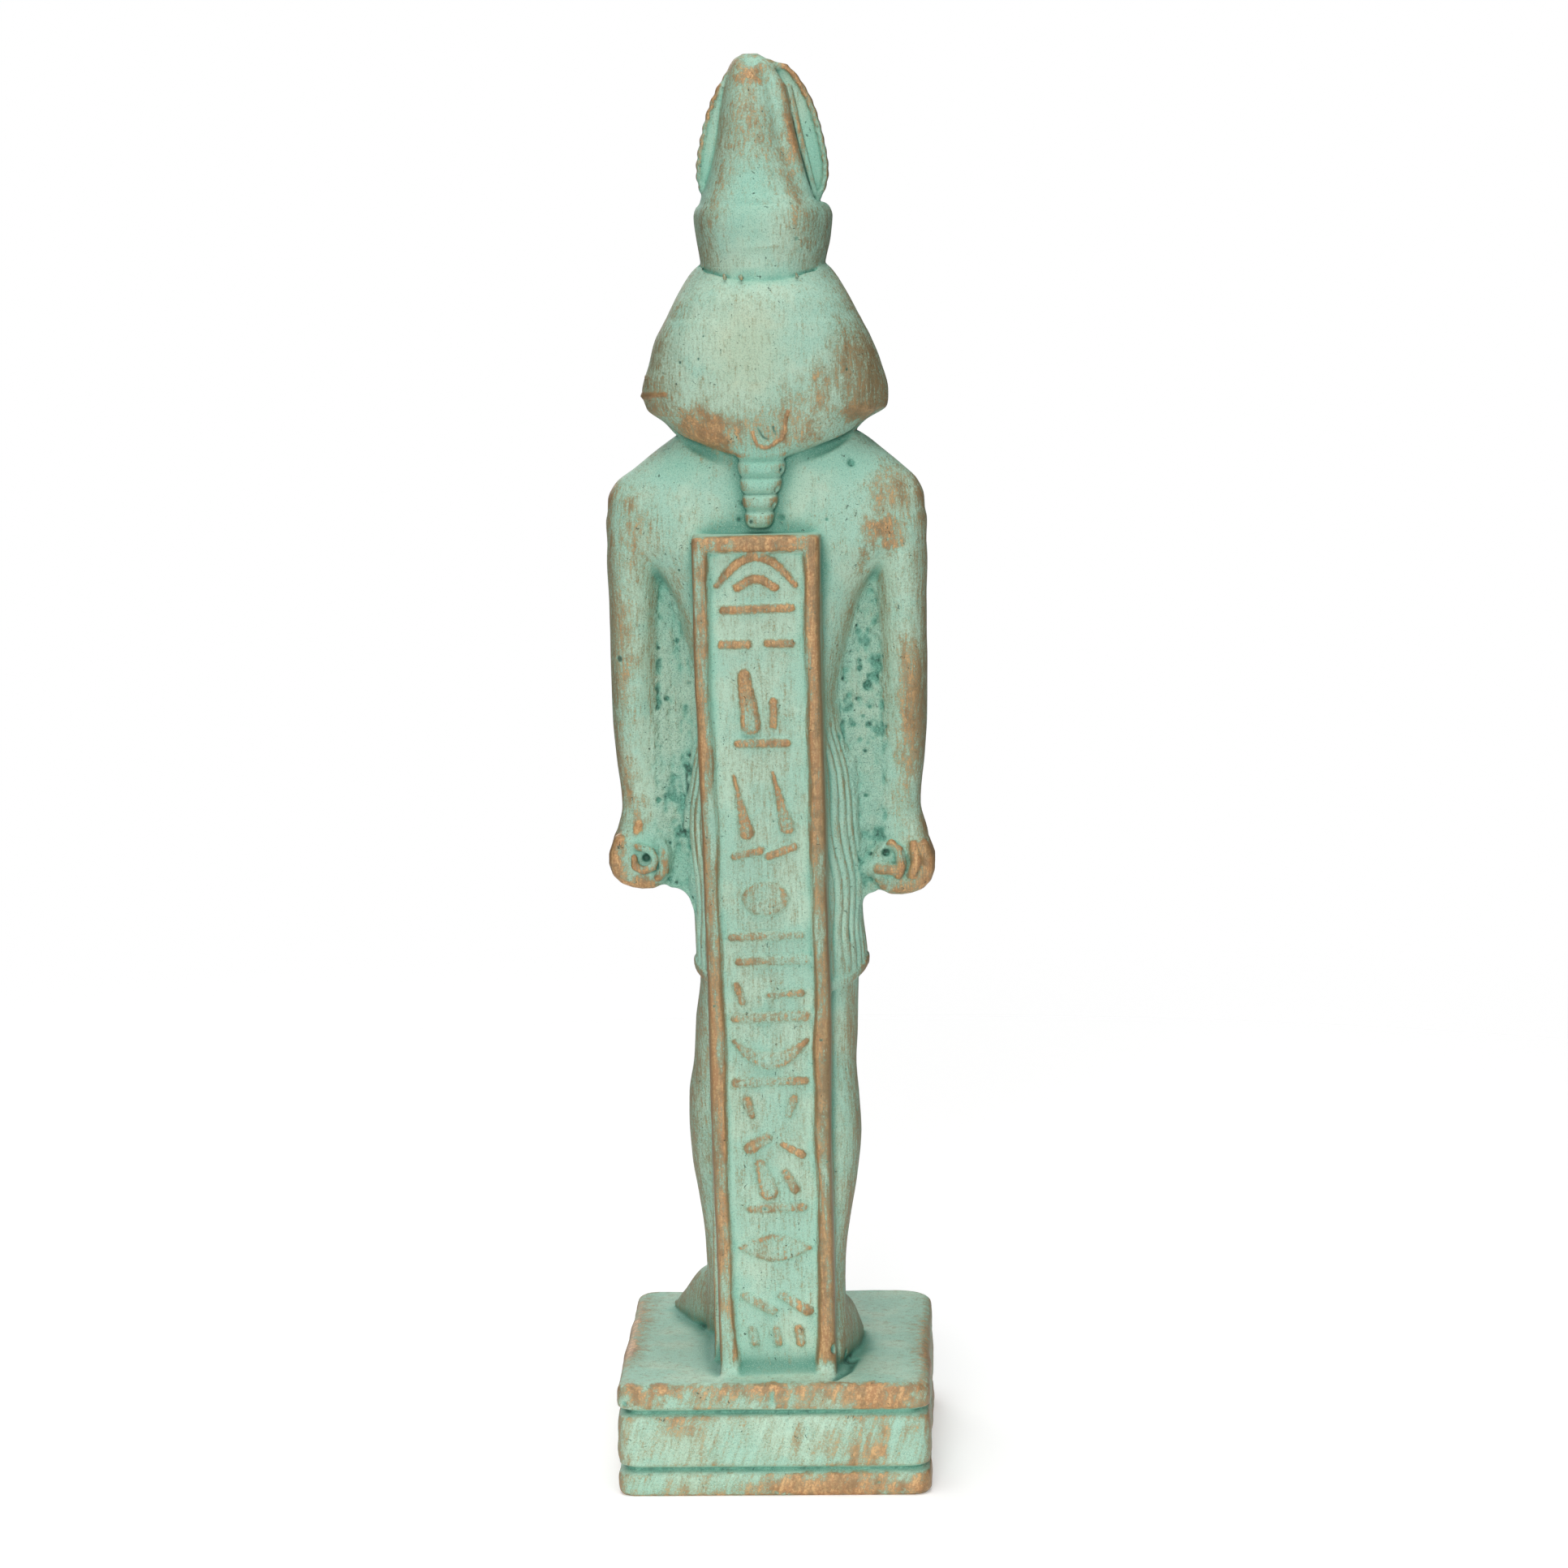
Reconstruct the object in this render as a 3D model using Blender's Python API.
"""Striding Egyptian deity figurine, cast in one piece with its back pillar and its stepped plinth.

The figure faces -Y and stands on the plinth, whose underside lies on z = 0 round the origin.
The figure is free form: its stations are given in units of a 184th of its height, so on the
real piece one unit is one millimetre. The plinth, the pillar and their mouldings have sizes of
their own. The forms are closed lofts, which one Boolean joins into a single solid.
"""

import math

import bmesh
import bpy
import numpy as np

# Figure, from the soles to the top of the crown
FIGURE_HEIGHT = 0.184
UNITS_IN_FIGURE = 184
UNIT = FIGURE_HEIGHT / UNITS_IN_FIGURE
SOLE_SINK = 0.0006

# The cast figure leans a little to its right from the knees up, in units
LEAN = -0.42
LEAN_FROM = 48
LEAN_TO = 58

# Back pillar: how far it stands proud of the back, its raised border and its sunk field
BACK_OF_TORSO = 17.5 * UNIT
PILLAR_PROUD = 0.0055
PILLAR_BACK = BACK_OF_TORSO + PILLAR_PROUD
PILLAR_TOP_WIDTH = 0.0178
PILLAR_FOOT_WIDTH = 0.0163
PILLAR_TOP_SHIFT = 0.0007
PILLAR_FOOT_SHIFT = -0.0007
PILLAR_FLARE = 0.0028
PILLAR_FLARE_HEIGHT = 0.0017
BORDER_WIDTH = 0.0024
FIELD_DEPTH = 0.0010
EDGE_BEVEL = 0.0005
STROKE_WIDTH = 0.0013
STROKE_HEIGHT = 0.0008
STROKE_SINK = 0.0004

# Plinth: three courses parted by two shallow grooves, sized round the feet and the pillar
PLINTH_HEIGHT = 0.016
PLINTH_SIDE_MARGIN = 0.0057
PLINTH_BACK_MARGIN = 0.0027
TOE_REACH = 16.3 * UNIT
PLINTH_WIDTH = 2 * (TOE_REACH + PLINTH_SIDE_MARGIN)
PLINTH_DEPTH = 2 * (PILLAR_BACK + PILLAR_FLARE + PLINTH_BACK_MARGIN)
PLINTH_CORNER_RADIUS = 0.0022
PLINTH_TOP_ROUNDING = 0.0008
PLINTH_FOOT_ROUNDING = 0.0003
BOTTOM_COURSE_HEIGHT = 0.0037
TOP_COURSE_HEIGHT = 0.0041
GROOVE_WIDTH = 0.0009
GROOVE_DEPTH = 0.0007

# Kilt pleats and the queue's bands
PLEAT_COUNT = 48
PLEAT_DEPTH = 0.0004
QUEUE_BANDS = 5
QUEUE_BAND_DEPTH = 0.0006

PATINA_COLOUR = (0.40, 0.62, 0.50, 1.0)
PATINA_ROUGHNESS = 0.75
SHARP_EDGE_DEGREES = 38

# Each form's stations, in units. Upright forms: height above the soles, centre x, centre y,
# half width, half depth, power of the superellipse.
TORSO = (
    (82, 0.0, 9.4, 10.4, 8.0, 2.2),
    (90, 0.0, 9.7, 9.4, 6.8, 2.3),
    (96, 0.0, 9.8, 9.8, 6.9, 2.3),
    (103, 0.0, 9.7, 11.4, 7.3, 2.4),
    (109, 0.0, 9.5, 13.3, 7.8, 2.5),
    (113.5, 0.0, 9.4, 16.6, 8.0, 2.6),
    (116.6, 0.0, 9.4, 21.3, 8.0, 2.5),
    (120, 0.0, 9.4, 22.2, 7.8, 2.4),
    (122.5, 0.0, 9.5, 22.1, 7.3, 2.4),
    (124.8, -0.1, 9.6, 21.1, 6.8, 2.3),
    (127, -0.4, 9.8, 18.6, 6.3, 2.2),
    (129.2, -0.5, 10.0, 15.9, 5.9, 2.1),
    (131.4, -0.6, 10.1, 13.0, 5.5, 2.1),
    (134, -0.2, 10.2, 8.0, 5.0, 2.0),
)
ARM = (
    (122.0, 18.0, 9.6, 1.6, 2.2, 2.0),
    (119.5, 18.5, 9.6, 3.4, 3.9, 2.0),
    (117.3, 18.6, 9.6, 3.65, 4.6, 2.0),
    (114.6, 18.7, 9.6, 3.75, 5.1, 2.0),
    (108, 18.85, 9.5, 3.45, 4.5, 2.1),
    (100, 19.0, 9.3, 3.3, 4.1, 2.1),
    (92, 18.95, 8.9, 3.25, 3.9, 2.1),
    (86, 18.75, 8.4, 3.05, 3.5, 2.1),
    (79, 18.45, 7.9, 2.7, 2.9, 2.1),
    (74, 18.9, 7.6, 3.2, 3.4, 2.2),
    (70, 18.9, 7.4, 3.0, 3.2, 2.2),
)
HEAD = (
    (127, 0.0, 8.4, 4.0, 4.4, 2.0),
    (130.4, 0.0, 4.6, 2.6, 3.6, 2.0),
    (131.6, 0.0, 3.9, 3.5, 4.6, 2.0),
    (133.5, 0.0, 4.7, 4.7, 5.9, 2.0),
    (137, 0.0, 5.8, 5.7, 7.2, 2.0),
    (141, 0.0, 6.6, 6.2, 8.0, 2.1),
    (145, 0.0, 7.1, 6.4, 8.3, 2.1),
    (149, 0.0, 7.8, 6.2, 8.6, 2.1),
    (152, 0.0, 8.2, 5.8, 8.4, 2.1),
)
HEADCLOTH = (
    (156.6, 0.0, 9.0, 6.4, 6.2, 2.0),
    (154.6, 0.0, 8.8, 9.4, 8.7, 2.0),
    (153.2, 0.0, 8.8, 10.5, 9.5, 2.1),
    (152.2, 0.0, 8.9, 11.1, 10.3, 2.1),
    (149.4, 0.0, 8.9, 12.6, 11.2, 2.1),
    (148.0, 0.0, 9.2, 13.3, 10.9, 2.1),
    (147.1, 0.0, 11.2, 13.7, 8.9, 2.2),
    (145, 0.0, 11.6, 14.8, 8.5, 2.2),
    (141.5, -0.2, 11.7, 16.0, 8.2, 2.2),
    (137.5, -0.2, 11.6, 17.0, 7.8, 2.1),
    (135.3, -0.4, 11.5, 16.6, 7.6, 2.1),
    (133.3, -0.1, 11.4, 13.9, 7.5, 2.0),
    (131.3, 0.0, 11.4, 11.8, 7.4, 2.0),
    (129.9, 0.0, 11.5, 8.4, 7.2, 2.0),
    (128.7, 0.0, 11.8, 4.6, 6.7, 2.0),
    (128.1, 0.0, 12.2, 1.9, 5.7, 2.0),
)
LAPPET = (
    (144.6, 11.0, 9.2, 3.2, 2.2, 2.6),
    (142, 10.8, 7.5, 3.9, 2.4, 2.8),
    (139, 10.2, 5.9, 4.4, 2.8, 2.8),
    (133, 8.9, 4.0, 4.3, 3.6, 2.8),
    (126, 7.4, 2.9, 3.7, 3.2, 3.0),
    (119, 6.7, 2.2, 3.4, 2.6, 3.2),
    (112.5, 6.3, 2.2, 3.2, 2.2, 3.4),
)
BEARD = (
    (132.6, 0.0, 0.6, 1.5, 1.3, 2.6),
    (127, 0.0, 0.2, 1.7, 1.5, 2.6),
    (120, 0.0, 0.2, 2.1, 1.8, 2.6),
    (118.6, 0.0, 0.5, 1.7, 1.4, 2.6),
)
BROW_COBRA = (
    (147.4, 0.0, -1.9, 0.7, 0.8, 2.0),
    (149.4, 0.0, -2.6, 1.5, 0.9, 2.0),
    (151.6, 0.0, -2.9, 1.6, 0.9, 2.0),
    (153.4, 0.0, -2.6, 0.9, 1.3, 2.0),
    (154.6, 0.0, -2.3, 0.6, 0.9, 2.0),
)
EAR = (
    (139.4, 6.8, 4.4, 0.6, 0.8, 2.0),
    (140.6, 7.2, 4.4, 1.0, 1.1, 2.0),
    (143.4, 7.6, 4.4, 1.3, 1.2, 2.0),
    (145.2, 7.4, 4.5, 1.1, 1.1, 2.0),
    (146.0, 7.1, 4.6, 0.5, 0.7, 2.0),
)
CROWN_CUP = (
    (151.0, 0.0, 9.2, 8.4, 8.9, 2.0),
    (155.0, -0.1, 9.2, 8.75, 9.1, 2.0),
    (159.0, -0.25, 9.3, 9.45, 9.2, 2.1),
    (161.6, -0.25, 9.3, 9.7, 9.2, 2.2),
    (162.9, -0.2, 9.3, 9.3, 8.9, 2.2),
    (163.5, -0.2, 9.3, 8.6, 8.4, 2.2),
)
CROWN_CONE = (
    (161, 0.4, 9.3, 8.4, 9.0, 2.0),
    (164, 0.5, 9.4, 7.5, 8.7, 2.0),
    (167.5, 0.7, 9.6, 6.3, 7.8, 2.0),
    (172, 1.0, 9.8, 5.1, 6.6, 2.0),
    (177, 1.2, 9.9, 4.2, 5.3, 2.0),
    (181, 1.3, 9.9, 3.3, 4.0, 2.0),
    (183.2, 1.2, 9.9, 2.3, 2.7, 2.0),
    (184, 1.2, 9.9, 1.0, 1.2, 2.0),
)
KILT = (
    (93.2, 0.0, 9.7, 9.7, 7.1, 2.2),
    (90, 0.0, 9.7, 10.1, 7.5, 2.2),
    (84, -0.1, 9.2, 11.4, 8.6, 2.2),
    (78, -0.3, 8.7, 12.2, 9.3, 2.2),
    (70, -0.6, 8.2, 12.3, 10.0, 2.2),
    (63, -0.8, 7.7, 12.0, 10.5, 2.2),
    (58, -1.1, 7.3, 12.2, 10.9, 2.2),
    (55.2, -1.2, 7.2, 11.8, 11.0, 2.2),
)
BELT = (
    (94.2, 0.0, 9.7, 9.8, 7.2, 2.2),
    (93.4, 0.0, 9.7, 10.2, 7.6, 2.2),
    (90.8, 0.0, 9.7, 10.5, 7.9, 2.2),
    (90, 0.0, 9.7, 10.1, 7.5, 2.2),
)
REAR_LEG = (
    (60, -6.3, 9.8, 5.9, 6.6, 2.1),
    (54, -6.4, 10.0, 5.8, 6.4, 2.1),
    (48, -6.5, 10.4, 5.75, 6.0, 2.1),
    (42, -6.7, 10.8, 5.3, 5.4, 2.1),
    (37.5, -6.95, 11.2, 5.4, 5.4, 2.1),
    (33, -7.1, 11.8, 5.5, 5.5, 2.1),
    (27, -7.1, 12.2, 4.9, 5.0, 2.1),
    (20, -7.1, 12.7, 3.7, 4.2, 2.1),
    (13.5, -7.2, 13.0, 2.9, 3.6, 2.1),
    (7, -7.3, 13.2, 2.8, 4.0, 2.1),
    (0, -7.4, 13.5, 2.9, 4.5, 2.1),
)
FRONT_LEG = (
    (60, 5.5, 6.6, 5.4, 6.4, 2.1),
    (54, 5.4, 5.4, 5.1, 6.2, 2.1),
    (48, 5.8, 4.0, 5.2, 5.8, 2.1),
    (42, 6.2, 2.5, 5.2, 5.3, 2.1),
    (36.5, 6.8, 1.2, 5.5, 5.3, 2.1),
    (32, 7.0, 0.5, 5.4, 5.3, 2.1),
    (27, 7.1, -0.6, 5.1, 4.9, 2.1),
    (20, 7.2, -2.0, 4.1, 4.2, 2.1),
    (14, 7.4, -3.1, 3.3, 3.6, 2.1),
    (7, 7.5, -3.9, 3.0, 4.0, 2.1),
    (0, 7.7, -4.2, 3.0, 4.5, 2.1),
)
HEM = (
    (56.4, -1.15, 7.2, 11.6, 10.8, 2.2),
    (56.2, -1.15, 7.2, 12.05, 11.25, 2.2),
    (55.0, -1.2, 7.2, 12.0, 11.2, 2.2),
    (54.8, -1.2, 7.2, 11.5, 10.7, 2.2),
)
APRON = (
    (92.4, 0.0, 2.6, 2.0, 1.2, 3.6),
    (84, -0.1, 1.1, 2.4, 1.3, 3.6),
    (70, -0.2, -1.4, 2.9, 1.3, 3.6),
    (60, -0.3, -2.7, 3.3, 1.4, 3.6),
    (57.2, -0.3, -2.9, 3.0, 1.2, 3.0),
)
# Forms along y: place along y, centre x, centre height, half width, half height, power.
FOOT = (
    (5.9, 0.0, 1.6, 1.3, 1.6, 2.0),
    (5.2, 0.0, 2.0, 2.3, 2.8, 2.2),
    (3.0, 0.0, 2.4, 2.9, 4.2, 2.3),
    (-1.0, 0.0, 2.6, 3.4, 6.7, 2.2),
    (-6.0, 0.0, 1.6, 4.2, 6.2, 2.2),
    (-11.0, 0.0, 0.8, 4.5, 4.2, 2.4),
    (-15.0, 0.0, 0.5, 4.4, 2.4, 2.6),
    (-17.6, 0.0, 0.4, 3.7, 1.8, 2.5),
    (-18.6, 0.0, 0.3, 2.4, 1.1, 2.2),
)
FIST = (
    (12.4, 18.4, 70.3, 3.2, 2.8, 2.4),
    (11.6, 18.4, 70.3, 4.1, 3.6, 2.5),
    (9.0, 18.4, 70.3, 4.5, 4.1, 2.5),
    (5.0, 18.4, 70.3, 4.5, 4.1, 2.5),
    (2.0, 18.4, 70.2, 4.0, 3.7, 2.5),
    (1.0, 18.4, 70.1, 2.9, 2.8, 2.4),
)
HELD_ROD = ((13.0, 17.9, 70.3, 1.5, 1.5, 2.0), (-0.4, 17.9, 70.3, 1.5, 1.5, 2.0))
LEFT_HAND_RISE = 1.2

# Where each ankle stands, in units: x, y, and the degrees by which the foot turns out
FRONT_FOOT_PLACE = (7.4, -4.6, 18.0)
REAR_FOOT_PLACE = (-7.3, 13.0, -2.0)

# The stone left between the arms and the body, and between the legs and the pillar, in units
WEB_BACK = 10.4
WEB_FRONT = 7.0
WEB_TOP = 115
WEB_OUTER = 18.5
WEB_INNER = 8.0
WEB_FOOT = 61.5
FIST_FOOT = 66.4
WEB_OUTER_RISE = 3.0
LEFT_WEB_RISE = 1.0
KILT_FLANK = 11.0
WEB_CURVE_RADIUS = 3.4
LEG_WEB_HALF_WIDTH = 1.6
LEG_WEB_MIDDLE = (1.6, 9.0)
LEG_WEB_OUTER = 8.6
LEG_WEB_BACK = 15.0
LEG_WEB_TOP = 57.0
PILLAR_FRONT = 13.0
PILLAR_RISE = 118.2

# Queue, in units: its ends, and its half width, middle and sideways shift at each end
QUEUE_TOP = 130.6
QUEUE_FOOT = 119.0
QUEUE_HALF_WIDTHS = (3.9, 1.8)
QUEUE_MIDDLES = (16.4, 17.6)
QUEUE_SHIFTS = (0.1, 0.7)
QUEUE_HALF_DEPTH = 2.2
QUEUE_POWER = 2.6
QUEUE_SIDES = 12

# Plumes beside the crown, in units: outer edge as height and reach, section as y and inset
PLUME_EDGE = (
    (163.2, 7.4), (164.4, 8.3), (166.8, 9.1), (169.5, 9.0),
    (173.0, 8.3), (177.0, 7.2), (180.6, 5.3), (182.4, 3.6),
)
PLUME_SECTION = ((7.4, 0.7), (8.2, 0.0), (10.6, 0.0), (11.4, 0.7))
PLUME_SHIFT = -0.3
PLUME_ROOT = 2.2
PLUME_ROOT_HEIGHTS = (181.6, 163.2)

# Face, in units: heights above the soles and how far each feature stands out or goes in
FACE_FOOT = 131.0
FACE_TOP = 148.6
FACE_HALF_WIDTH = 6.1
FACE_BACK = 6.0
FACE_LIFT = 0.35
FACE_COLUMNS = 17
FACE_ROWS = 25
BROW_HEIGHT = 145.35
BROW_DROP = 0.055
BROW_SPREAD = 0.5
BROW_INNER = 0.8
BROW_RELIEF = 0.35
EYE_HEIGHT = 143.1
EYE_SPACING = 2.6
NOSE_TIP_HEIGHT = 139.5
NOSE_LENGTH = 5.7
NOSE_DEPTH = 2.2
NOSE_UNDERSIDE = 1.3
NOSE_HALF_WIDTHS = (0.75, 1.6)
MOUTH_HEIGHT = 136.7
LIP_HALF_WIDTH = 2.2
LIP_RISE = 0.7
CHIN_HEIGHT = 133.0
# Soft swellings and hollows: how far they stand out, x, height, spread across and spread up
FACE_SWELLINGS = (
    (-0.85, EYE_SPACING, EYE_HEIGHT, 1.9, 1.2),
    (0.75, EYE_SPACING, EYE_HEIGHT, 1.25, 0.65),
    (0.6, 0, MOUTH_HEIGHT + LIP_RISE, LIP_HALF_WIDTH, 0.5),
    (0.65, 0, MOUTH_HEIGHT - LIP_RISE, LIP_HALF_WIDTH * 0.8, 0.5),
    (-0.3, 0, CHIN_HEIGHT + 1.8, 1.6, 0.5),
    (0.7, 0, CHIN_HEIGHT, 1.9, 1.1),
    (0.35, 3.4, 139.9, 1.6, 2.2),
)

# Raised strokes down the field, none of them a sign. Each row has its middle and its height as
# shares of the pillar's rise. Each stroke's points are shares of the field's half width, shares
# of the row's height, and widths in stroke widths.
STROKE_ROWS = (
    (0.961, 0.043, (
        ((-0.84, -0.45, 0.8), (-0.45, 0.15, 1), (0, 0.4, 1), (0.45, 0.15, 1), (0.84, -0.45, 0.8)),
        ((-0.4, -0.5, 1), (0, -0.2, 1), (0.4, -0.5, 1)),
    )),
    (0.894, 0.053, (
        ((-0.72, 0.36, 1), (0.74, 0.4, 1)),
        ((-0.76, -0.4, 1), (-0.2, -0.4, 1)),
        ((0.24, -0.38, 1), (0.74, -0.4, 1)),
    )),
    (0.796, 0.090, (
        ((-0.3, 0.45, 1.4), (-0.2, -0.2, 2.2)),
        ((0.32, 0.1, 1), (0.3, -0.2, 1)),
        ((-0.5, -0.44, 1), (0.56, -0.44, 1)),
    )),
    (0.670, 0.107, (
        ((-0.62, 0.45, 0.3), (-0.38, -0.18, 1.7)),
        ((-0.66, -0.44, 1), (-0.1, -0.38, 1)),
        ((0.24, 0.48, 0.3), (0.52, -0.12, 1.7)),
        ((0.1, -0.44, 1), (0.66, -0.34, 1)),
    )),
    (0.572, 0.049, (
        ((-0.36, 0, 1.4), (-0.22, 0, 3.2), (0, 0, 3.9), (0.22, 0, 3.2), (0.36, 0, 1.4)),
    )),
    (0.512, 0.041, (
        ((-0.8, 0.36, 1), (0.76, 0.4, 1)),
        ((-0.66, -0.36, 1), (0.86, -0.3, 1.2)),
    )),
    (0.447, 0.049, (
        ((-0.74, 0.44, 1), (-0.62, 0.06, 1)),
        ((0.0, 0.2, 0.8), (0.74, 0.26, 1)),
        ((-0.8, -0.36, 1), (0.84, -0.3, 1.3)),
    )),
    (0.387, 0.043, (
        ((-0.84, 0.36, 0.6), (-0.4, -0.1, 1.6), (0, -0.24, 2), (0.4, -0.1, 1.6), (0.84, 0.36, 0.6)),
    )),
    (0.336, 0.046, (
        ((-0.8, 0.36, 1.2), (0.8, 0.4, 1)),
        ((-0.56, -0.12, 1.2), (-0.44, -0.5, 0.9)),
        ((0.52, -0.1, 1.2), (0.4, -0.5, 0.9)),
    )),
    (0.244, 0.100, (
        ((-0.5, 0.3, 1.6), (-0.1, 0.42, 1.3)),
        ((0.26, 0.34, 0.8), (0.7, 0.22, 1.1)),
        ((-0.28, 0.1, 1.4), (-0.1, -0.22, 2.2)),
        ((0.3, 0.0, 1), (0.52, -0.2, 1.2)),
        ((-0.56, -0.44, 1), (0.7, -0.42, 1.1)),
    )),
    (0.153, 0.048, (
        ((-0.86, 0, 0.4), (-0.4, 0, 2.4), (0, 0, 3.3), (0.4, 0, 2.4), (0.86, 0, 0.4)),
    )),
    (0.086, 0.030, (
        ((-0.76, 0.3, 1.1), (-0.1, -0.3, 1.3)),
        ((0.14, 0.3, 1.1), (0.76, -0.3, 1.3)),
    )),
    (0.046, 0.020, (
        ((-0.6, 0.4, 1.1), (-0.54, -0.4, 1.1)),
        ((-0.02, 0.4, 1.1), (0.02, -0.4, 1.1)),
        ((0.52, 0.4, 1.1), (0.58, -0.4, 1.1)),
    )),
)


def monotone(at, rows, places):
    """Values of a smooth curve through the stations, which never swings past them."""
    order = np.argsort(at)
    at, rows = np.asarray(at, float)[order], np.asarray(rows, float)[order]
    gaps = np.diff(at)[:, None]
    rises = np.diff(rows, axis=0) / gaps
    slopes = np.zeros_like(rows)
    slopes[0], slopes[-1] = rises[0], rises[-1]
    before, after = rises[:-1], rises[1:]
    same_way = before * after > 0
    first, second = 2 * gaps[1:] + gaps[:-1], gaps[1:] + 2 * gaps[:-1]
    safe_before, safe_after = np.where(same_way, before, 1), np.where(same_way, after, 1)
    mean = (first + second) / (first / safe_before + second / safe_after)
    slopes[1:-1] = np.where(same_way, mean, 0)
    cell = np.clip(np.searchsorted(at, places) - 1, 0, len(at) - 2)
    step = gaps[cell]
    t = ((places - at[cell])[:, None]) / step
    return (
        (2 * t**3 - 3 * t**2 + 1) * rows[cell]
        + (t**3 - 2 * t**2 + t) * step * slopes[cell]
        + (3 * t**2 - 2 * t**3) * rows[cell + 1]
        + (t**3 - t**2) * step * slopes[cell + 1]
    )


def outline(half_width, half_depth, power, angles):
    """Distance from the centre to a superellipse's edge at each angle."""
    across = np.abs(np.cos(angles)) / half_width
    along = np.abs(np.sin(angles)) / half_depth
    return (across**power + along**power) ** (-1 / power)


def closed_mesh(name, rings):
    """A closed object through rings of as many points each, with a flat cap at both ends."""
    bm = bmesh.new()
    add_tube(bm, rings)
    return finished(name, bm)


def add_tube(bm, rings):
    """Adds a closed tube through the rings to a mesh that is being built."""
    loops = [[bm.verts.new(point) for point in ring] for ring in rings]
    count = len(loops[0])
    for lower, upper in zip(loops, loops[1:]):
        for i in range(count):
            j = (i + 1) % count
            bm.faces.new((lower[i], lower[j], upper[j], upper[i]))
    bm.faces.new(loops[0])
    bm.faces.new(loops[-1])


def finished(name, bm):
    """Turns a mesh's faces outwards and makes it an object."""
    bmesh.ops.recalc_face_normals(bm, faces=bm.faces)
    mesh = bpy.data.meshes.new(name)
    bm.to_mesh(mesh)
    bm.free()
    mesh.shade_smooth()
    return bpy.data.objects.new(name, mesh)


def on_plinth(points):
    """Figure units, with heights above the soles, as metres in the object's frame."""
    metres = np.array(points, float)
    share = np.clip((metres[:, 2] - LEAN_FROM) / (LEAN_TO - LEAN_FROM), 0, 1)
    metres[:, 0] += LEAN * share
    metres *= UNIT
    metres[:, 2] += PLINTH_HEIGHT
    return metres


def loft(name, stations, segments, rings, axis="z", side=1, place=None, relief=None):
    """A form lofted along z or y through superellipse rings.

    side is -1 for a form mirrored in x, place moves a foot to (x, y) and turns it out by an
    angle in degrees, and relief gives what is added to a ring's radius at each angle.
    """
    stations = np.array(stations, float)
    angles = np.arange(segments) * 2 * math.pi / segments
    shares = np.linspace(0, len(stations) - 1, rings)
    places = np.interp(shares, np.arange(len(stations)), stations[:, 0])
    made = []
    values = monotone(stations[:, 0], stations[:, 1:], places)
    for at, (cu, cv, half_u, half_v, power) in zip(places, values):
        radius = outline(half_u, half_v, power, angles)
        if relief is not None:
            radius = radius + relief(angles)
        u, v = cu + radius * np.cos(angles), cv + radius * np.sin(angles)
        along = np.full(segments, at)
        points = np.stack((u, v, along) if axis == "z" else (u, along, v), axis=1)
        if place is not None:
            x, y, turn = place
            c, s = math.cos(math.radians(turn)), math.sin(math.radians(turn))
            turned = points[:, :2] @ np.array(((c, s), (-s, c)))
            points = np.column_stack((turned + (x, y), points[:, 2]))
        made.append(on_plinth(points * (side, 1, 1)))
    return closed_mesh(name, made)


def lifted(stations, rise):
    """The stations of a form along y, raised by a number of units."""
    return [(y, x, height + rise, *section) for y, x, height, *section in stations]


def arc(centre, radius, start, end, steps):
    """Points of an arc, with its angles in degrees."""
    turns = np.radians(np.linspace(start, end, steps))
    return [(centre[0] + radius * math.cos(t), centre[1] + radius * math.sin(t)) for t in turns]


def pleats(angles):
    """Upright pleats, each a rib with a narrow furrow."""
    return -PLEAT_DEPTH / UNIT * (np.abs(np.sin(angles * PLEAT_COUNT / 2)) < 0.5)


def bump(x, z, middle_x, middle_z, spread_x, spread_z):
    """A soft round swelling of height one."""
    return np.exp(-(((x - middle_x) / spread_x) ** 2) - ((z - middle_z) / spread_z) ** 2)


def face_relief(x, z):
    """How far the face stands out of the plain oval of the head at each place."""
    side = np.abs(x)
    down = np.clip((NOSE_TIP_HEIGHT + NOSE_LENGTH - z) / NOSE_LENGTH, 0, 1)
    under = np.clip((z - NOSE_TIP_HEIGHT + NOSE_UNDERSIDE) / NOSE_UNDERSIDE, 0, 1)
    wing = np.interp(down, (0, 1), NOSE_HALF_WIDTHS)
    total = NOSE_DEPTH * down**1.2 * under * np.clip(1 - (side / wing) ** 2, 0, 1)
    brow_line = BROW_HEIGHT - BROW_DROP * (side - EYE_SPACING) ** 2
    brow = BROW_RELIEF * np.exp(-(((z - brow_line) / BROW_SPREAD) ** 2))
    total += brow * (side > BROW_INNER)
    for height, *place in FACE_SWELLINGS:
        total += height * bump(side, z, *place)
    return total


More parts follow.
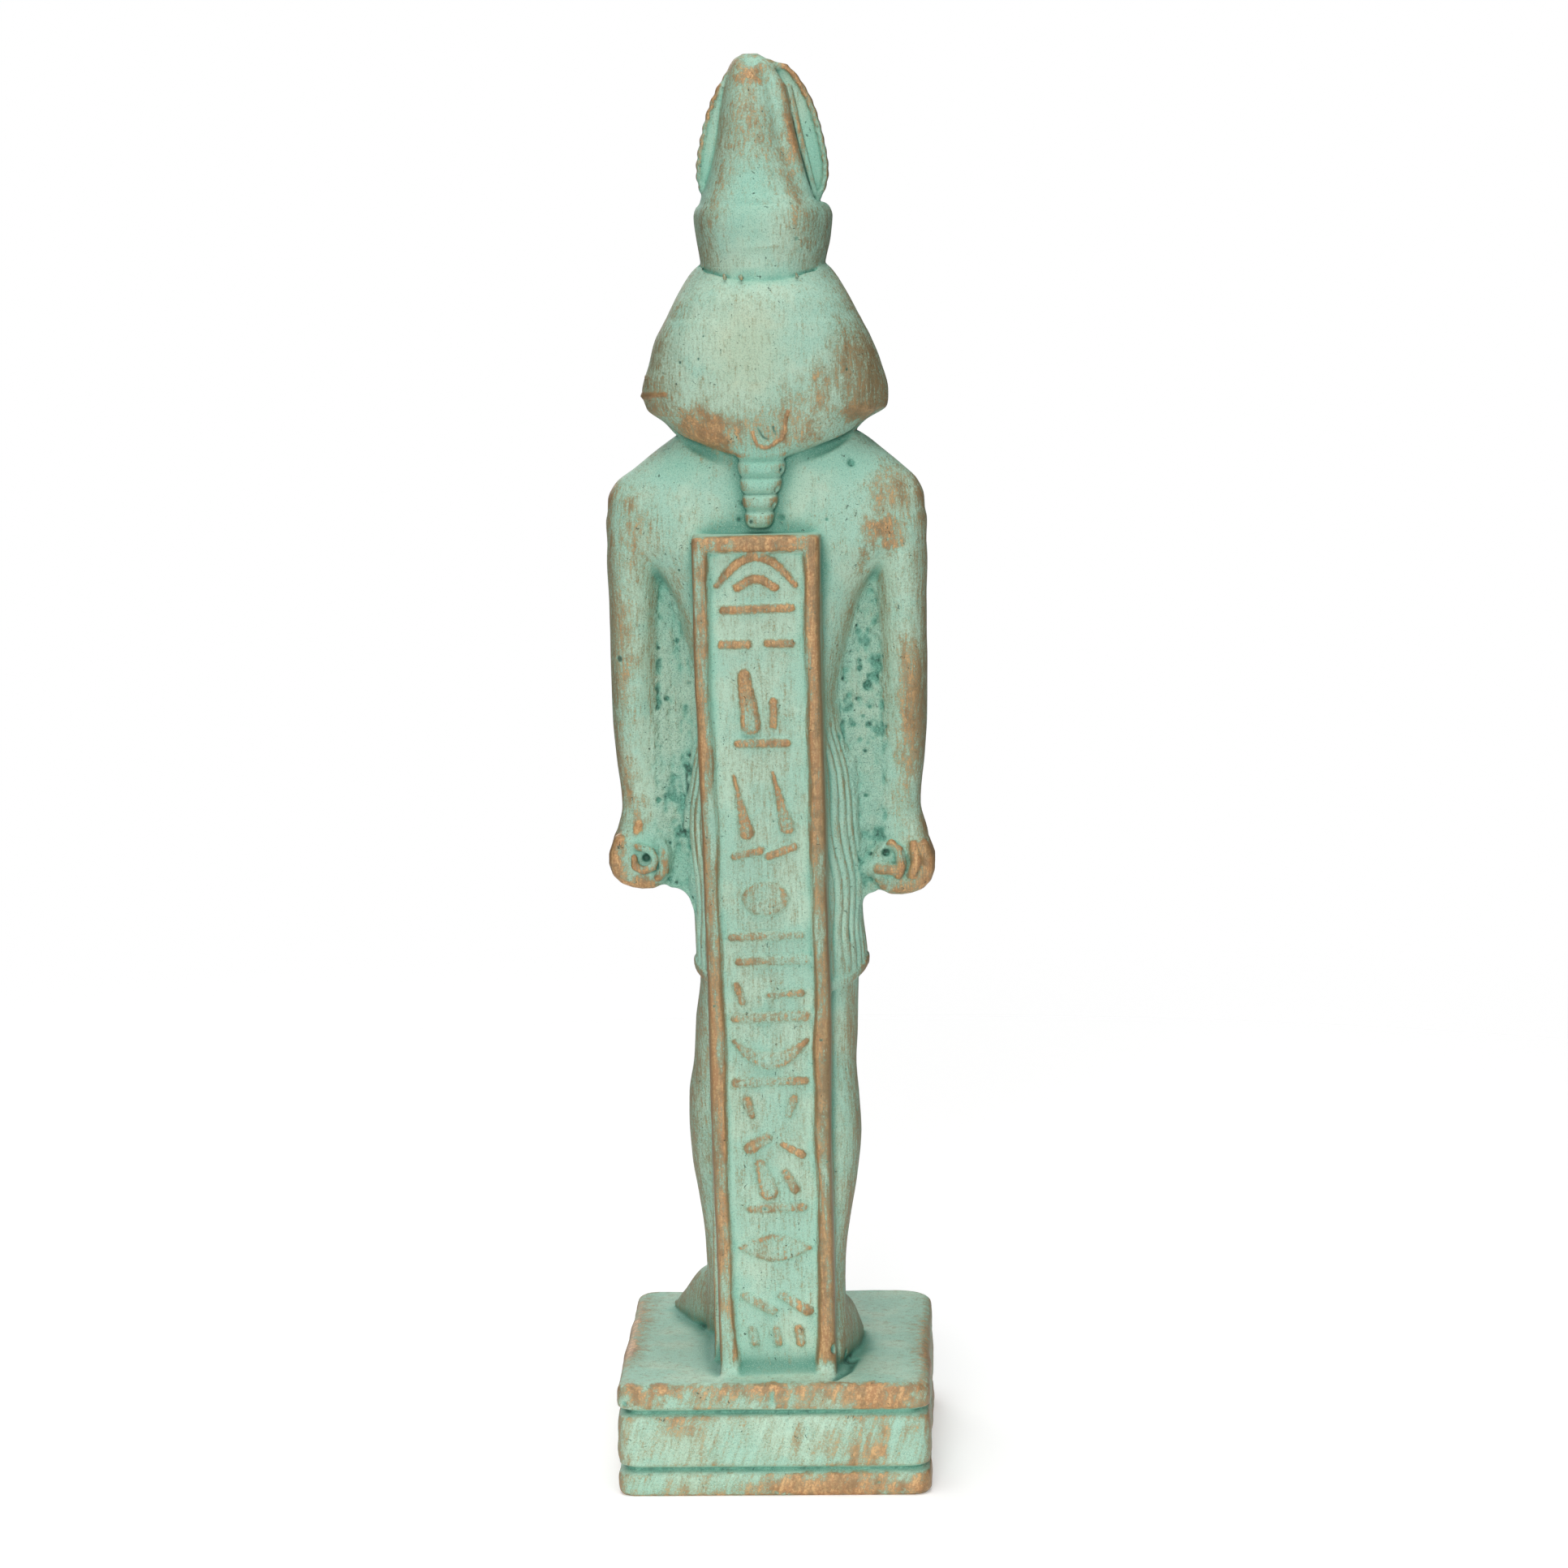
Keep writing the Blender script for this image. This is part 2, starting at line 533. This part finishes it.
def face():
    """The front of the head: a closed patch with brow, eyes, nose, mouth and chin."""
    columns, rows = FACE_COLUMNS, FACE_ROWS
    stations = np.array(HEAD, float)
    heights = np.linspace(FACE_FOOT, FACE_TOP, rows)
    across = np.linspace(-1, 1, columns) ** 3 * 0.35 + np.linspace(-1, 1, columns) * 0.65
    bm = bmesh.new()
    front, back = [], []
    sections = monotone(stations[:, 0], stations[:, 1:], heights)
    for z, (_, middle, half_u, half_v, power) in zip(heights, sections):
        x = across * min(FACE_HALF_WIDTH, half_u * 0.96)
        depth = half_v * (1 - (np.abs(x) / half_u) ** power) ** (1 / power)
        y = middle - depth - FACE_LIFT * (1 - across**4) - face_relief(x, np.full(columns, z))
        front.append([bm.verts.new(p) for p in on_plinth(np.column_stack((x, y, np.full(columns, z))))])
        rear = np.column_stack((x[[0, -1]] * 0.8, (FACE_BACK, FACE_BACK), (z, z)))
        back.append([bm.verts.new(p) for p in on_plinth(rear)])
    for lower, upper, low_back, high_back in zip(front, front[1:], back, back[1:]):
        for i in range(columns - 1):
            bm.faces.new((lower[i], lower[i + 1], upper[i + 1], upper[i]))
        bm.faces.new((lower[-1], low_back[1], high_back[1], upper[-1]))
        bm.faces.new((low_back[1], low_back[0], high_back[0], high_back[1]))
        bm.faces.new((low_back[0], lower[0], upper[0], high_back[0]))
    bm.faces.new(front[0] + [back[0][1], back[0][0]])
    bm.faces.new(front[-1] + [back[-1][1], back[-1][0]])
    return finished("face", bm)


def plinth():
    """The stepped block: rounded-rectangle rings up its moulded profile."""
    lower, upper = BOTTOM_COURSE_HEIGHT, PLINTH_HEIGHT - TOP_COURSE_HEIGHT
    half = GROOVE_WIDTH / 2
    profile = [(0, PLINTH_FOOT_ROUNDING), (PLINTH_FOOT_ROUNDING, 0)]
    for middle in (lower, upper):
        profile += [(middle - half, 0), (middle, GROOVE_DEPTH), (middle + half, 0)]
    profile += [(PLINTH_HEIGHT - PLINTH_TOP_ROUNDING, 0), (PLINTH_HEIGHT, PLINTH_TOP_ROUNDING)]
    rings = []
    for height, inset in profile:
        ring = []
        radius = PLINTH_CORNER_RADIUS
        reach_x = PLINTH_WIDTH / 2 - inset - radius
        reach_y = PLINTH_DEPTH / 2 - inset - radius
        for quarter, (sx, sy) in enumerate(((1, 1), (-1, 1), (-1, -1), (1, -1))):
            corner = arc((sx * reach_x, sy * reach_y), radius, quarter * 90, quarter * 90 + 90, 5)
            ring += [(x, y, height) for x, y in corner]
        rings.append(ring)
    return closed_mesh("figurine", rings)


def pillar_lean(height):
    """The pillar's sideways shift and half width at a height above the plinth."""
    share = height / (PILLAR_RISE * UNIT)
    shift = PILLAR_FOOT_SHIFT + (PILLAR_TOP_SHIFT - PILLAR_FOOT_SHIFT) * share
    return shift, (PILLAR_FOOT_WIDTH + (PILLAR_TOP_WIDTH - PILLAR_FOOT_WIDTH) * share) / 2


def pillar():
    """The slab behind the figure: a raised border round a sunk field, flaring onto the plinth."""
    top = PILLAR_RISE * UNIT
    levels = (
        (-SOLE_SINK, PILLAR_FLARE, 0),
        (SOLE_SINK, PILLAR_FLARE, 0),
        (PILLAR_FLARE_HEIGHT / 2, PILLAR_FLARE / 4, FIELD_DEPTH / 2),
        (PILLAR_FLARE_HEIGHT, 0, FIELD_DEPTH),
        (top - BORDER_WIDTH - EDGE_BEVEL, 0, FIELD_DEPTH),
        (top - BORDER_WIDTH, 0, 0),
        (top - EDGE_BEVEL, 0, 0),
        (top, -EDGE_BEVEL, 0),
    )
    rings = []
    for height, flare, depth in levels:
        shift, half = pillar_lean(height)
        back = PILLAR_BACK + flare
        inner = half - BORDER_WIDTH
        sides = (
            (half, PILLAR_FRONT * UNIT),
            (half, back - EDGE_BEVEL),
            (half - EDGE_BEVEL, back),
            (inner, back),
            (inner - EDGE_BEVEL, back - depth),
        )
        z = PLINTH_HEIGHT + height
        right = [(shift + x, y, z) for x, y in sides]
        left = [(shift - x, y, z) for x, y in reversed(sides)]
        rings.append(right + left)
    return closed_mesh("back_pillar", rings)


def stroke_outline(row_middle, row_height, points):
    """One stroke as a closed outline in x and height above the plinth."""
    rise = PILLAR_RISE * UNIT
    path = []
    for across, up, width in points:
        height = (row_middle + up * row_height) * rise
        shift, half = pillar_lean(height)
        path.append((shift - across * (half - BORDER_WIDTH), height, width * STROKE_WIDTH / 2))
    left, right = [], []
    for i, (x, z, half) in enumerate(path):
        x0, z0, _ = path[max(i - 1, 0)]
        x1, z1, _ = path[min(i + 1, len(path) - 1)]
        length = math.hypot(x1 - x0, z1 - z0)
        across, up = -(z1 - z0) / length, (x1 - x0) / length
        left.append((x + across * half, z + up * half))
        right.append((x - across * half, z - up * half))
    return left + right[::-1]


def strokes():
    """The strokes as low ridges with narrower tops, whose feet lie inside the pillar."""
    bm = bmesh.new()
    field = PILLAR_BACK - FIELD_DEPTH
    for row_middle, row_height, row in STROKE_ROWS:
        for points in row:
            shape = np.array(stroke_outline(row_middle, row_height, points))
            rings = []
            for y in (field - STROKE_SINK, field + STROKE_HEIGHT):
                ring = [(x, y, PLINTH_HEIGHT + z) for x, z in shape]
                rings.append(ring)
            add_tube(bm, rings)
    return finished("strokes", bm)


def arm_web(side, rise):
    """The stone left between an arm and the body, with a curved lower edge from fist to kilt.

    rise lifts the curve where the fist beside it is held higher.
    """
    centre = (KILT_FLANK + WEB_CURVE_RADIUS, FIST_FOOT - WEB_CURVE_RADIUS)
    profile = [(WEB_INNER, WEB_FOOT), (KILT_FLANK, WEB_FOOT)]
    profile += [(x, z + rise) for x, z in arc(centre, WEB_CURVE_RADIUS, 180, 90, 6)]
    profile.append((WEB_OUTER, FIST_FOOT + WEB_OUTER_RISE + rise))
    profile += [(WEB_OUTER, WEB_TOP), (WEB_INNER, WEB_TOP)]
    rings = [on_plinth([(side * x, y, z) for x, z in profile]) for y in (WEB_FRONT, WEB_BACK)]
    return closed_mesh(f"arm_web_{side}", rings)


def leg_web():
    """The stone left between each leg and the pillar, whose front edges lie inside the legs."""
    levels = np.linspace(-SOLE_SINK / UNIT, LEG_WEB_TOP, 7)
    rear, front = np.array(REAR_LEG, float), np.array(FRONT_LEG, float)
    rear_middles = monotone(rear[:, 0], rear[:, 1:3], levels)
    front_middles = monotone(front[:, 0], front[:, 1:3], levels)
    rings = []
    for z, (rear_x, rear_y), (front_x, front_y) in zip(levels, rear_middles, front_middles):
        plan = [
            (rear_x, LEG_WEB_BACK),
            (rear_x, rear_y),
            LEG_WEB_MIDDLE,
            (front_x - LEG_WEB_HALF_WIDTH, front_y),
            (front_x + LEG_WEB_HALF_WIDTH, front_y),
            (LEG_WEB_OUTER, LEG_WEB_BACK),
        ]
        rings.append(on_plinth([(x, y, z) for x, y in plan]))
    return closed_mesh("leg_web", rings)


def queue():
    """The bound end of the headcloth, hanging down the back in bands."""
    angles = np.arange(QUEUE_SIDES) * 2 * math.pi / QUEUE_SIDES
    pitch = (QUEUE_TOP - QUEUE_FOOT) / QUEUE_BANDS
    rings = []
    for band in range(QUEUE_BANDS):
        for share, swell in ((0.04, 0), (0.25, 1), (0.75, 1), (0.96, 0)):
            down = (band + share) / QUEUE_BANDS
            half = np.interp(down, (0, 1), QUEUE_HALF_WIDTHS)
            middle = np.interp(down, (0, 1), QUEUE_MIDDLES)
            shift = np.interp(down, (0, 1), QUEUE_SHIFTS)
            dip = (swell - 1) * QUEUE_BAND_DEPTH / UNIT
            radius = outline(half + dip / 2, QUEUE_HALF_DEPTH + dip, QUEUE_POWER, angles)
            x, y = shift + radius * np.cos(angles), middle + radius * np.sin(angles)
            height = np.full(len(angles), QUEUE_TOP - (band + share) * pitch)
            rings.append(on_plinth(np.column_stack((x, y, height))))
    return closed_mesh("queue", rings)


def plume(side):
    """A feather beside the crown: a leaf with a swelling outer edge, rooted in the cone."""
    rings = []
    for y, inset in PLUME_SECTION:
        ring = [(PLUME_SHIFT + side * (x - inset), y, z) for z, x in PLUME_EDGE]
        ring += [(side * PLUME_ROOT, y, z) for z in PLUME_ROOT_HEIGHTS]
        rings.append(on_plinth(ring))
    return closed_mesh(f"plume_{side}", rings)


def all_forms():
    """Every form that the Boolean joins to the plinth."""
    forms = [
        loft("torso", TORSO, 26, 15),
        loft("kilt", KILT, PLEAT_COUNT * 2, 5, relief=pleats),
        loft("belt", BELT, 24, 4),
        loft("hem", HEM, 24, 4),
        loft("apron", APRON, 12, 4),
        loft("rear_leg", REAR_LEG, 16, 10),
        loft("front_leg", FRONT_LEG, 16, 10),
        loft("front_foot", FOOT, 14, 10, axis="y", place=FRONT_FOOT_PLACE),
        loft("rear_foot", FOOT, 14, 10, axis="y", place=REAR_FOOT_PLACE),
        loft("head", HEAD, 16, 8),
        face(),
        loft("headcloth", HEADCLOTH, 26, 18),
        loft("beard", BEARD, 8, 5),
        loft("brow_cobra", BROW_COBRA, 8, 6),
        loft("crown_cup", CROWN_CUP, 26, 6),
        loft("crown_cone", CROWN_CONE, 20, 10),
        queue(),
        pillar(),
        strokes(),
        leg_web(),
    ]
    for side, hand_rise, web_rise in ((1, LEFT_HAND_RISE, LEFT_WEB_RISE), (-1, 0, 0)):
        forms.append(loft(f"arm_{side}", ARM, 14, 11, side=side))
        forms.append(loft(f"fist_{side}", lifted(FIST, hand_rise), 12, 6, axis="y", side=side))
        forms.append(loft(f"rod_{side}", lifted(HELD_ROD, hand_rise), 10, 2, axis="y", side=side))
        forms.append(loft(f"lappet_{side}", LAPPET, 12, 7, side=side))
        forms.append(loft(f"ear_{side}", EAR, 8, 6, side=side))
        forms.append(arm_web(side, web_rise))
        forms.append(plume(side))
    return forms


def patina():
    """Verdigris over a coppery cast body."""
    material = bpy.data.materials.new("patinated_cast")
    material.use_nodes = True
    shader = material.node_tree.nodes["Principled BSDF"]
    shader.inputs["Base Color"].default_value = PATINA_COLOUR
    shader.inputs["Roughness"].default_value = PATINA_ROUGHNESS
    shader.inputs["Metallic"].default_value = 0.0
    return material


def main():
    for old in list(bpy.data.objects):
        bpy.data.objects.remove(old)
    helpers = bpy.data.collections.new("forms")
    bpy.context.scene.collection.children.link(helpers)
    for form in all_forms():
        helpers.objects.link(form)
    figurine = plinth()
    bpy.context.scene.collection.objects.link(figurine)
    figurine.data.materials.append(patina())
    joined = figurine.modifiers.new("joined_forms", "BOOLEAN")
    joined.operation = "UNION"
    joined.operand_type = "COLLECTION"
    joined.collection = helpers
    joined.solver = "EXACT"
    seen = figurine.evaluated_get(bpy.context.evaluated_depsgraph_get())
    figurine.data = bpy.data.meshes.new_from_object(seen)
    figurine.modifiers.remove(joined)
    figurine.data.set_sharp_from_angle(angle=math.radians(SHARP_EDGE_DEGREES))
    for form in list(helpers.objects):
        bpy.data.objects.remove(form)
    bpy.data.collections.remove(helpers)


main()
